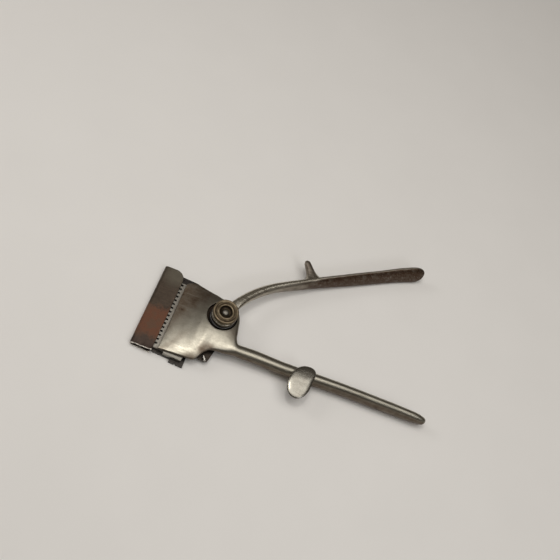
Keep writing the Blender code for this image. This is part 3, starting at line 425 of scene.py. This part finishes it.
def rusty_guard():
    """Dark sheet steel with a rust patch over the near part of its top, a paler far corner that is a painted
    sheen and a painted highlight along the bent near lip.
    """
    recipe = Recipe("guard_sheet_rusty_with_sheen")
    cloud = recipe.noise(0.16, detail=6, rough=0.65)
    fine = recipe.noise(1.6, detail=6, rough=0.7)
    grit = recipe.noise(5.0, detail=4, rough=0.7)
    across = recipe.turned(62, (0.16, 1.4, 1.0))
    streaks = recipe.noise(1.0, detail=4, rough=0.6, place=across)
    base = recipe.mix(cloud, (0.042, 0.031, 0.023), (0.125, 0.094, 0.070))
    base = recipe.mix(recipe.step(streaks, 0.4, 0.7, 0.0, 0.5), base, (0.050, 0.037, 0.028))
    # Painted sheen: the far corner of the top goes paler.
    corner = recipe.around((-7.0, 27.0, 4.5), 2.0, 13.0)
    base = recipe.mix(recipe.math("MULTIPLY", corner, 0.75), base, (0.150, 0.135, 0.104))
    near = recipe.along((0.0, -1.0, 0.0), 14.0, 19.5)
    base = recipe.mix(recipe.math("MULTIPLY", near, 0.7), base, (0.055, 0.037, 0.031))
    patch_far = recipe.along((0.25, -1.0, 0.0), -11.0, -1.0)
    patch_near = recipe.along((0.0, 1.0, 0.0), -23.0, -13.0)
    patch = recipe.times(patch_far, patch_near)
    patch = recipe.math("ADD", patch, recipe.math("MULTIPLY", recipe.math("SUBTRACT", fine, 0.5), 0.9))
    wander = recipe.math("MULTIPLY", recipe.math("SUBTRACT", cloud, 0.5), 2.4)
    patch = recipe.step(recipe.math("ADD", patch, wander), 0.30, 1.0)
    rust = recipe.mix(fine, (0.115, 0.036, 0.015), (0.215, 0.078, 0.032))
    rust = recipe.mix(recipe.step(cloud, 0.42, 0.62, 0.0, 0.75), rust, (0.120, 0.066, 0.036))
    rust = recipe.mix(recipe.step(grit, 0.45, 0.7, 0.0, 0.5), rust, (0.065, 0.026, 0.016))
    body = recipe.mix(recipe.math("MULTIPLY", patch, 0.92), base, rust)
    rubbed = recipe.edges(0.53, 0.62)
    # Near lip: a rubbed bare edge brightened almost to white as a painted highlight.
    lip = recipe.times(recipe.edges(0.505, 0.55), recipe.along((0.0, -1.0, 0.0), 23.4, 24.2))
    body = recipe.mix(recipe.math("MULTIPLY", rubbed, 0.3), body, (0.30, 0.27, 0.22))
    body = recipe.mix(recipe.math("MULTIPLY", lip, 0.95), body, (0.78, 0.74, 0.67))
    recipe.colour(body)
    recipe.set("Metallic", recipe.step(patch, 0.0, 1.0, 0.85, 0.15))
    gloss = recipe.step(patch, 0.0, 1.0, 0.42, 0.72)
    recipe.set("Roughness", recipe.math("ADD", gloss, recipe.step(fine, 0.3, 0.7, -0.05, 0.08)))
    crust = recipe.times(fine, recipe.step(patch, 0.0, 1.0, 0.4, 1.0))
    recipe.bumps((cloud, 0.12), (crust, 0.05), (grit, 0.012))
    return recipe.material


# Shape helpers -----------------------------------------------------------------------------------
def ease(values, at):
    """Read a smooth curve through evenly spaced values, without overshoot between them."""
    i = min(int(at), len(values) - 2)
    slopes = [after - before for before, after in zip(values, values[1:])]

    def tangent(k):
        if k == 0 or k == len(slopes):
            return slopes[min(k, len(slopes) - 1)]
        before, after = slopes[k - 1], slopes[k]
        return 0.0 if before * after <= 0 else 2 * before * after / (before + after)

    t = at - i
    return (
        values[i] * (1 + 2 * t) * (1 - t) ** 2
        + tangent(i) * t * (1 - t) ** 2
        + values[i + 1] * t * t * (3 - 2 * t)
        + tangent(i + 1) * t * t * (t - 1)
    )


def stations(rows, steps):
    """Rows with smooth stations between each two of them."""
    columns = list(zip(*rows))
    count = (len(rows) - 1) * steps
    return [[ease(column, k / steps) for column in columns] for k in range(count + 1)]


def link(name, mesh):
    item = bpy.data.objects.new(name, mesh)
    bpy.context.scene.collection.objects.link(item)
    return item


def skin(name, work):
    """Turn a finished bmesh into an object."""
    bmesh.ops.recalc_face_normals(work, faces=work.faces[:])
    mesh = bpy.data.meshes.new(name)
    work.to_mesh(mesh)
    work.free()
    return link(name, mesh)


def mesh_of(item):
    """The mesh an object's modifiers give."""
    bpy.context.view_layer.update()
    return bpy.data.meshes.new_from_object(item.evaluated_get(bpy.context.evaluated_depsgraph_get()))


def settle(item):
    """Apply an object's modifiers."""
    mesh = mesh_of(item)
    item.modifiers.clear()
    item.data = mesh
    return item


def loft(name, rings):
    """Skin closed rings of equal length and close both ends."""
    work = bmesh.new()
    loops = [[work.verts.new(Vector(point) * MM) for point in ring] for ring in rings]
    count = len(rings[0])
    for first, second in zip(loops, loops[1:]):
        for i in range(count):
            j = (i + 1) % count
            work.faces.new((first[i], first[j], second[j], second[i]))
    work.faces.new(loops[0][::-1])
    work.faces.new(loops[-1])
    return skin(name, work)


def turned(name, profile, steps=96):
    """Revolve a closed outline of (radius, z) points about the pivot's axis."""
    rings = []
    for k in range(steps):
        angle = 2 * math.pi * k / steps
        c, s = math.cos(angle), math.sin(angle)
        rings.append([(PIVOT[0] + r * c, PIVOT[1] + r * s, z) for r, z in profile])
    work = bmesh.new()
    loops = [[work.verts.new(Vector(point) * MM) for point in ring] for ring in rings]
    count = len(profile)
    for k in range(steps):
        first, second = loops[k], loops[(k + 1) % steps]
        for i in range(count):
            j = (i + 1) % count
            work.faces.new((first[i], second[i], second[j], first[j]))
    bmesh.ops.remove_doubles(work, verts=work.verts[:], dist=1e-6)
    bmesh.ops.dissolve_degenerate(work, edges=work.edges[:], dist=1e-7)
    return skin(name, work)


def rod(name, radius, z0, z1, at=PIVOT, steps=64):
    """A vertical round bar between two heights."""
    ring = [(math.cos(2 * math.pi * k / steps), math.sin(2 * math.pi * k / steps)) for k in range(steps)]
    return loft(name, [[(at[0] + radius * c, at[1] + radius * s, z) for c, s in ring] for z in (z0, z1)])


def combine(item, tools, operation):
    """Join or cut an object with others and take those away."""
    for tool in tools:
        step = item.modifiers.new(tool.name, "BOOLEAN")
        step.operation = operation
        step.solver = "MANIFOLD"
        step.object = tool
    settle(item)
    for tool in tools:
        bpy.data.objects.remove(tool, do_unlink=True)
    return item


def melt(item, voxel, rounds, near=None):
    """Rebuild the surface on a fine even grid and smooth it, only near the pivot if a distance is given."""
    step = item.modifiers.new("grid", "REMESH")
    step.mode = "VOXEL"
    step.voxel_size = voxel * MM
    step.use_smooth_shade = True
    settle(item)
    if near:
        group = item.vertex_groups.new(name="near")
        for vert in item.data.vertices:
            away = (vert.co.to_2d() / MM - Vector(PIVOT)).length - near
            group.add([vert.index], max(0.0, min(1.0, 1 - away / 3.0)), "REPLACE")
    step = item.modifiers.new("even", "SMOOTH")
    step.factor = 0.5
    step.iterations = rounds
    step.vertex_group = "near" if near else ""
    settle(item)
    item.vertex_groups.clear()
    return item


def ripple(item, depth, length, seed):
    """Hand-forged unevenness along the surface's normals, in millimetres."""
    mesh = item.data
    shift = Vector((seed * 7.3, seed * 3.1, seed * 5.7))
    normals = [vert.normal.copy() for vert in mesh.vertices]
    for vert, normal in zip(mesh.vertices, normals):
        vert.co += normal * (noise.noise(vert.co / (length * MM) + shift) * depth * MM)


def finish(item, surface, body, slot, *nodes):
    """Give a piece its material, its body and the CAD nodes it stands for; the slot argument is not used."""
    item.data.materials.clear()
    item.data.materials.append(surface)
    if item.type == "MESH":
        item.data.shade_smooth()
    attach(item, body)
    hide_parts(*nodes)
    return item


# Frame -------------------------------------------------------------------------------------------
# Near edge X Y, far edge X Y, mid heights at both edges, crown, thickness and how square it is.
FRAME_ROWS = [
    (0.0, -22.2, 0.0, 22.8, 5.9, 5.9, 0.15, 1.3, 14.0),
    (2.0, -22.0, 2.2, 24.6, 6.0, 5.9, 0.5, 1.4, 14.0),
    (5.5, -21.7, 5.5, 25.8, 6.1, 6.0, 1.1, 1.5, 14.0),
    (12.0, -21.2, 11.5, 24.8, 6.4, 6.6, 2.2, 1.6, 12.0),
    (17.5, -20.8, 17.0, 23.6, 6.7, 7.6, 2.9, 1.8, 12.0),
    (20.6, -20.5, 20.5, 22.9, 7.0, 8.3, 3.0, 1.9, 12.0),
    (22.8, -17.9, 24.0, 22.0, 7.6, 8.9, 2.7, 2.0, 12.0),
    (24.9, -14.1, 28.0, 21.6, 8.3, 9.0, 2.3, 2.2, 10.0),
    (27.6, -11.4, 32.0, 20.4, 8.8, 8.9, 2.0, 2.6, 8.0),
    (31.5, -10.2, 35.6, 17.2, 8.9, 8.8, 1.6, 3.4, 6.0),
    (35.0, -9.8, 37.8, 12.4, 8.8, 8.6, 1.2, 4.4, 4.5),
    (37.8, -9.3, 38.8, 7.2, 8.7, 8.5, 0.9, 5.4, 3.4),
    (40.2, -8.7, 40.0, 1.6, 8.7, 8.5, 0.5, 6.2, 2.7),
    (42.6, -8.3, 42.2, -1.2, 8.7, 8.5, 0.2, 6.8, 2.3),
    (47.0, -8.1, 47.0, -0.7, 8.6, 8.6, 0.0, 7.0, 2.1),
]
# X, Y, width, height, mid height and how square the section is.
FIXED_HANDLE_ROWS = [
    (47.0, -4.4, 7.4, 7.0, 8.6, 2.1),
    (54.0, -3.7, 7.5, 7.3, 8.3, 2.1),
    (62.0, -3.3, 7.5, 7.9, 7.8, 2.1),
    (70.0, -2.9, 7.5, 8.6, 7.25, 2.1),
    (78.0, -2.2, 7.5, 9.2, 6.9, 2.1),
    (92.0, -0.9, 7.3, 9.9, 6.6, 2.1),
    (111.0, 0.8, 6.9, 10.3, 6.3, 2.1),
    (132.0, 2.0, 6.7, 10.4, 6.2, 2.1),
    (146.0, 2.8, 6.5, 10.4, 6.2, 2.1),
    (157.0, 3.3, 6.0, 9.6, 6.3, 2.1),
    (162.4, 3.4, 4.9, 7.6, 6.4, 2.0),
    (164.8, 3.4, 3.2, 4.8, 6.4, 2.0),
    (165.4, 3.3, 1.4, 2.2, 6.4, 2.0),
]


def around_pivot(radius, degrees):
    angle = math.radians(degrees)
    return (PIVOT[0] + radius * math.cos(angle), PIVOT[1] + radius * math.sin(angle))


def frame_ring(row, half):
    """One closed section of the frame, along its top from the near edge and back below."""
    near_x, near_y, far_x, far_y, near_z, far_z, crown, thick, power = row
    top = []
    bottom = []
    for i in range(half + 1):
        side = -math.cos(math.pi * i / half)
        part = (side + 1) / 2
        x = near_x + (far_x - near_x) * part
        y = near_y + (far_y - near_y) * part
        middle = near_z + (far_z - near_z) * part + crown * (1 - side * side)
        rise = thick / 2 * max(0.0, 1 - abs(side) ** power) ** (1 / power)
        top.append((x, y, middle + rise))
        bottom.append((x, y, middle - rise))
    return top + bottom[-2:0:-1]


def forged_frame():
    """Shield, neck and fixed handle in one forging, with the spring's well in a raised rim."""
    handle = [(x, y - w / 2, x, y + w / 2, z, z, 0.0, h, p) for x, y, w, h, z, p in FIXED_HANDLE_ROWS]
    rings = [frame_ring(row, 36) for row in stations(FRAME_ROWS, 6)[:-1] + stations(handle, 6)]
    item = loft("forged_frame", rings)
    combine(item, [rod("boss", BOSS_RADIUS, 6.9, 9.0, WELL, 96)], "UNION")
    melt(item, 0.26, 14, 11.5)
    tools = [rod("well", WELL_RADIUS, 7.9, 20.0, WELL, 96), rod("well_hole", 6.6, 0.0, 20.0, steps=96)]
    tools.append(rod("rest_hole", REST_PIN_HOLE, 7.3, 20.0, REST_PIN))
    tools.append(rod("spring_foot", SPRING_HOLE, 3.0, 9.6, around_pivot(SPRING_RADIUS, SPRING_FOOT)))
    for name, at in BRIDGE_SCREWS.items():
        tools.append(rod(f"hole_{name}", 1.5, 3.0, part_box(name)[1].z / MM + 0.3, at))
    combine(item, tools, "DIFFERENCE")
    melt(item, 0.24, 1)
    ripple(item, 0.05, 9.0, 1)
    return finish(item, frame_nickel(), "frame_assembly", "frame_nickel", "frame")


# Moving handle -----------------------------------------------------------------------------------
# X, Y, width, height, mid height and how square the section is.
MOVING_HANDLE_ROWS = [
    (28.8, 13.4, 6.6, 2.4, 14.7, 3.0),
    (30.6, 17.3, 6.5, 2.4, 14.7, 2.8),
    (32.7, 21.7, 6.1, 3.5, 14.2, 2.3),
    (36.2, 27.8, 5.9, 5.2, 12.9, 2.1),
    (41.5, 34.7, 5.8, 6.4, 11.7, 2.1),
    (48.3, 41.6, 5.5, 7.3, 10.6, 2.1),
    (55.6, 47.4, 5.2, 8.2, 9.6, 2.2),
    (63.0, 52.8, 4.8, 9.2, 8.5, 2.3),
    (74.4, 60.9, 4.3, 10.2, 7.4, 2.3),
    (92.6, 72.7, 3.9, 11.2, 6.6, 2.4),
    (109.9, 83.8, 3.9, 12.0, 6.4, 2.4),
    (124.0, 92.7, 4.2, 13.0, 6.8, 2.4),
    (132.4, 97.3, 4.4, 13.4, 7.0, 2.4),
    (136.6, 99.2, 3.9, 11.4, 7.0, 2.5),
    (138.9, 100.1, 2.9, 7.6, 7.0, 2.2),
    (139.8, 100.4, 1.3, 3.4, 7.0, 2.0),
]
# The finger hook's sections, from inside the arm to its tip.
HOOK_ROWS = [
    (71.6, 58.2, 15.0, 8.0, 8.4, 2.2),
    (70.4, 60.4, 11.6, 7.2, 8.8, 2.1),
    (69.2, 62.2, 8.0, 6.4, 9.0, 2.0),
    (67.8, 64.2, 5.9, 5.6, 9.1, 2.0),
    (65.7, 67.1, 4.9, 4.8, 9.2, 2.0),
    (63.5, 69.9, 4.0, 3.9, 9.3, 2.0),
    (62.4, 71.1, 1.8, 1.8, 9.3, 2.0),
]


def path_rings(rows, steps, lean=0.0):
    """Sections standing across a plan path, which lean sideways as they rise if a lean is given."""
    count = 48
    places = stations(rows, steps)
    rings = []
    for i, (x, y, wide, tall, height, power) in enumerate(places):
        before = places[max(i - 1, 0)]
        after = places[min(i + 1, len(places) - 1)]
        along = Vector((after[0] - before[0], after[1] - before[1])).normalized()
        sheer = lean * min(1.0, max(0.0, (x - 36.0) / 60.0))
        ring = []
        for k in range(count):
            angle = 2 * math.pi * k / count
            c, s = math.cos(angle), math.sin(angle)
            side = math.copysign(abs(c) ** (2 / power), c) * wide / 2
            up = math.copysign(abs(s) ** (2 / power), s) * tall / 2
            side += sheer * up
            ring.append((x - along.y * side, y + along.x * side, height + up))
        rings.append(ring)
    return rings


def forged_handle():
    """Hub, arm, grip and finger hook in one forging."""
    profile = [
        (3.9, 16.0), (7.2, 16.0), (7.5, 15.7), (7.5, 13.6),
        (7.3, 13.4), (6.1, 13.4), (6.1, 6.9), (3.9, 6.9),
    ]
    item = turned("forged_handle", profile)
    arm = loft("arm", path_rings(MOVING_HANDLE_ROWS, 6, 0.25))
    combine(item, [arm, loft("hook", path_rings(HOOK_ROWS, 5))], "UNION")
    melt(item, 0.3, 10)
    tools = [rod("bore", 3.9, 0.0, 20.0, steps=96)]
    tools.append(rod("spring_end", SPRING_HOLE, 10.0, 15.1, around_pivot(SPRING_RADIUS, SPRING_TOP)))
    tools += [rod(f"rivet_{angle}", 1.0, 3.0, 9.3, around_pivot(5.0, angle)) for angle in (60, 300)]
    combine(item, tools, "DIFFERENCE")
    melt(item, 0.26, 2)
    ripple(item, 0.02, 9.0, 1)
    return finish(item, handle_nickel(), "handle_assembly", "handle_nickel", "moving_handle")


# Thumb rest --------------------------------------------------------------------------------------
PAD_MIDDLE = (84.2, -8.6)
PAD_LOW = 11.8
PAD_TILT = 0.12
PAD_BEND_Y = -6.0
PAD_BEND = 2.5
# Reach of the pad's outline from its middle, every 30 degrees from +X.
PAD_REACH = [6.4, 7.5, 11.8, 11.1, 9.4, 8.0, 7.8, 8.8, 10.1, 10.0, 8.3, 6.7]


def pad_reach(degrees):
    """Read the pad's outline as a smooth closed curve."""
    at = degrees / 30.0
    i = int(at)
    t = at - i
    a, b, c, d = (PAD_REACH[(i + k) % 12] for k in (-1, 0, 1, 2))
    return b + 0.5 * t * (c - a + t * (2 * a - 5 * b + 4 * c - d + t * (3 * (b - c) + d - a)))


def thumb_pad():
    """Polished pad with a rolled rim: a broad lobe across the handle and an oval one out past its side."""
    levels = [
        (0.0, 0.80), (0.1, 0.85), (0.3, 0.91), (0.6, 0.96), (0.95, 0.99), (1.3, 1.0), (1.5, 0.993),
        (1.7, 0.97), (1.85, 0.93), (1.97, 0.88), (2.1, 0.81), (2.2, 0.72), (2.3, 0.61), (2.4, 0.45),
        (2.46, 0.3), (2.5, 0.12),
    ]
    count = 90
    rings = []
    for rise, scale in levels:
        ring = []
        for i in range(count):
            degrees = 360 / count * i
            reach = pad_reach(degrees) * scale
            x = PAD_MIDDLE[0] + reach * math.cos(math.radians(degrees))
            y = PAD_MIDDLE[1] + reach * math.sin(math.radians(degrees))
            tip = PAD_TILT * PAD_BEND * math.log(1.0 + math.exp(-(y - PAD_BEND_Y) / PAD_BEND))
            ring.append((x, y, PAD_LOW + rise - tip))
        rings.append(ring)
    item = loft("thumb_pad", rings)
    combine(item, [rod("pin_hole", REST_PIN_HOLE, 5.0, 13.3, REST_PIN)], "DIFFERENCE")
    melt(item, 0.25, 8)
    ripple(item, 0.08, 5.0, 3)
    return finish(item, polished_nickel(), "frame_assembly", "polished_nickel", "thumb_rest")


# Pivot -------------------------------------------------------------------------------------------
def dished_nut():
    """Round nut: rolled rim, groove, inner ring and a deep middle round the screw's end."""
    profile = [
        (2.2, 18.2), (3.3, 18.25), (3.42, 18.4), (3.7, 19.6), (3.82, 19.85), (4.05, 20.0), (4.35, 20.04),
        (4.65, 20.02), (4.9, 19.92), (5.05, 19.75), (5.15, 19.6), (5.4, 19.5), (5.85, 19.5), (6.05, 19.6),
        (6.2, 19.8), (6.4, 19.99), (6.7, 20.08), (7.0, 20.1), (7.25, 20.04), (7.45, 19.9), (7.58, 19.7),
        (7.62, 19.4), (7.62, 17.5), (7.55, 17.2), (7.4, 17.05), (7.2, 17.0), (2.2, 17.0),
    ]
    item = turned("dished_nut", profile, steps=128)
    ripple(item, 0.05, 2.0, 4)
    return finish(item, bronze(), "nut_body", "nut_bronze", "tension_nut")


def pivot_end():
    """Shouldered screw with a flat head below and a domed end in the nut's middle."""
    profile = [
        (0.0, 19.2), (0.35, 19.19), (0.7, 19.14), (1.05, 19.05), (1.35, 18.92), (1.6, 18.75), (1.78, 18.55),
        (1.9, 18.3), (1.9, 16.6), (2.4, 16.3), (2.4, 2.7), (4.4, 2.7), (4.4, 1.5), (4.3, 1.25), (4.0, 1.1),
        (0.0, 1.1),
    ]
    item = turned("pivot_end", profile)
    return finish(item, dull_steel(), "frame_assembly", "fastener_steel", "pivot_screw")


def coil():
    """Spring wire wound round the hub, one end down in the frame and the other up in the arm."""
    low = 8.95
    pitch = 1.85
    foot = around_pivot(SPRING_RADIUS, SPRING_FOOT)
    points = [(*foot, z) for z in (7.2, 7.6, low - 1.0, low - 0.6)]
    count = 110
    for i in range(count + 1):
        part = i / count
        degrees = SPRING_FOOT + 10 + (360 * SPRING_TURNS - 20) * part
        points.append((*around_pivot(SPRING_RADIUS, degrees), low + pitch * SPRING_TURNS * part))
    top = points[-1][2]
    points += [(*around_pivot(SPRING_RADIUS, SPRING_TOP), z) for z in (top + 0.7, top + 1.2, 14.4, 14.8)]
    curve = bpy.data.curves.new("coil", "CURVE")
    curve.dimensions = "3D"
    curve.bevel_depth = SPRING_WIRE / 2 * MM
    curve.bevel_resolution = 6
    curve.use_fill_caps = True
    line = curve.splines.new("POLY")
    line.points.add(len(points) - 1)
    for point, place in zip(line.points, points):
        point.co = (*(Vector(place) * MM), 1.0)
    guide = bpy.data.objects.new("coil_path", curve)
    bpy.context.scene.collection.objects.link(guide)
    item = link("coil", mesh_of(guide))
    bpy.data.objects.remove(guide, do_unlink=True)
    return finish(item, dark_spring(), "frame_assembly", "spring_steel", "torsion_spring")


# Blade guard -------------------------------------------------------------------------------------
GUARD_FRONT = -16.0
GUARD_LOWER_REAR = -3.5
GUARD_UPPER_REAR = -2.9
GUARD_NEAR = -24.4
GUARD_FAR = 29.7
GUARD_CORNER = 6.0
GUARD_SHEET = 0.6


def guard_section():
    """Middle of the folded sheet as (x, z), from the lower rear edge round to the upper one."""
    low = 0.4
    fold_top = 3.9
    rise = 1.35
    radius = (fold_top - low) / 2
    middle = GUARD_FRONT + GUARD_SHEET / 2 + radius
    lower = [(GUARD_LOWER_REAR + (middle - GUARD_LOWER_REAR) * k / 12, low) for k in range(12)]
    fold = []
    for k in range(21):
        angle = math.radians(-90 - 180 * k / 20)
        fold.append((middle + radius * math.cos(angle), low + radius + radius * math.sin(angle)))
    upper = [(middle + (GUARD_UPPER_REAR - middle) * k / 24, fold_top + rise * k / 24) for k in range(1, 25)]
    return lower + fold + upper


def folded_guard():
    """Thin sheet folded over the teeth, with one rounded rear corner and a bent, nicked near end."""
    columns = 90
    work = bmesh.new()
    rows = []
    for x, z in guard_section():
        into = max(0.0, x - (GUARD_UPPER_REAR - GUARD_CORNER))
        far = GUARD_FAR - GUARD_CORNER + math.sqrt(max(0.2, GUARD_CORNER**2 - into**2))
        row = []
        for k in range(columns + 1):
            y = GUARD_NEAR + (far - GUARD_NEAR) * k / columns
            near = max(0.0, 1 - (y - GUARD_NEAR) / 3.0)
            upper = min(1.0, max(0.0, (z - 3.0) / 1.0))
            wave = noise.noise(Vector((x * 0.45, 3.0, 1.0)))
            lift = upper * near**2 * (0.35 * wave + 0.12)
            dent = 0.10 * noise.noise(Vector((x * 0.12, y * 0.10, 5.0))) * upper
            shift = 0.35 * near**2 * noise.noise(Vector((x * 0.6, 8.0, z * 0.6)))
            row.append(work.verts.new(Vector((x, y + shift, z + lift + max(0.0, dent))) * MM))
        rows.append(row)
    for first, second in zip(rows, rows[1:]):
        for k in range(columns):
            work.faces.new((first[k], first[k + 1], second[k + 1], second[k]))
    item = skin("folded_guard", work)
    sheet = item.modifiers.new("sheet", "SOLIDIFY")
    sheet.thickness = GUARD_SHEET * MM
    sheet.offset = 0.0
    sheet.use_even_offset = True
    rim = item.modifiers.new("rim", "BEVEL")
    rim.width = 0.12 * MM
    rim.segments = 2
    rim.limit_method = "ANGLE"
    rim.angle_limit = math.radians(50)
    settle(item)
    return finish(item, rusty_guard(), "guard_body", "guard_sheet", "blade_guard")


# Carried-over pieces -----------------------------------------------------------------------------
def dress(name, surface, edge):
    """Give a CAD node its material and slightly rounded edges."""
    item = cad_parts[name]
    for slot in item.material_slots:
        slot.material = surface
    rim = item.modifiers.new("rim", "BEVEL")
    rim.width = edge * MM
    rim.segments = 2
    rim.limit_method = "ANGLE"
    rim.angle_limit = math.radians(45)


def carried_over():
    """Materials for the CAD nodes that no finer piece replaces."""
    # Comb steel near black: partly its own dark tarnish, partly painted shade under the frame and guard.
    comb = ground_steel("comb_steel_worn_and_shaded", (0.045, 0.040, 0.037), 0.6, (0.3, 5.0, 0.3))
    cutter = ground_steel("cutter_steel_worn", (0.28, 0.265, 0.235), 0.45, (0.25, 4.0, 0.25))
    # Bridge, posts, lever and washer: near-black steel as painted shade under the frame.
    plain = ground_steel("bridge_steel_worn_and_shaded", (0.045, 0.038, 0.032), 1.0, (3.0, 0.3, 0.3))
    bright = fastener_steel()
    dress("comb_plate", comb, 0.08)
    dress("cutter_plate", cutter, 0.08)
    for name in ("bridge", "bridge_post_1", "bridge_post_2", "drive_lever"):
        dress(name, plain, 0.15)
    for pair in ("bridge_screw", "comb_screw", "comb_shim", "lever_rivet"):
        dress(f"{pair}_1", bright, 0.1)
        dress(f"{pair}_2", bright, 0.1)
    for name in ("stop_pin", "bridge_stud", "thumb_rest_rivet"):
        dress(name, bright, 0.1)
    for name in ("cutter_yoke", "yoke_rivet_1", "yoke_rivet_2"):
        dress(name, bright, 0.08)
    dress("tension_washer", plain, 0.08)
    dress("pivot_bush", bronze(), 0.1)


camera()
studio()
forged_frame()
forged_handle()
thumb_pad()
dished_nut()
pivot_end()
coil()
folded_guard()
carried_over()
